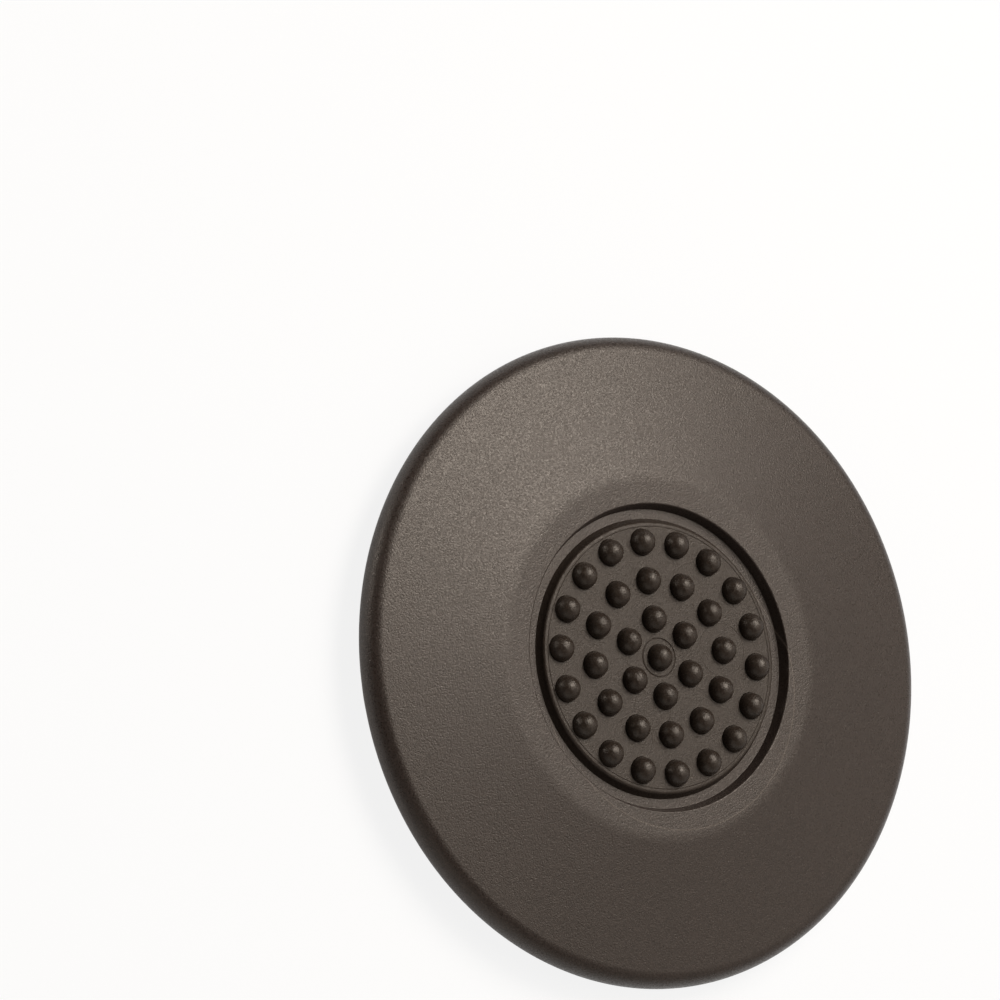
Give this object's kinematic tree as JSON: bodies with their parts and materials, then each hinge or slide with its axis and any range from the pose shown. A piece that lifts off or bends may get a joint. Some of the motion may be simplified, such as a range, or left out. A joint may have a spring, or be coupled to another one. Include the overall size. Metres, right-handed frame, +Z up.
{
  "type": "furniture pad",
  "caption": "Round stick-on furniture pad: moulded dish with a pocket that holds a studded rubber grip disc, on a self-adhesive foam disc with a release liner.",
  "frame": {"origin": "centre of the release liner's underside, where the pad rests", "axes": "+Z up through the studs, along the pad's axis; +X through the first stud of every ring"},
  "size_m": [0.0889, 0.0889, 0.0112],
  "materials": {
    "shell_plastic": "finely grained, satin",
    "grip_rubber": "smooth satin",
    "foam": "cut closed-cell foam",
    "adhesive": "tacky film",
    "liner": "coated paper"
  },
  "bodies": {
    "root": {"slider_shell": "shell_plastic", "grip_insert": "grip_rubber", "foam_pad": "foam", "adhesive_film": "adhesive", "release_liner": "liner"}
  },
  "joints": []
}
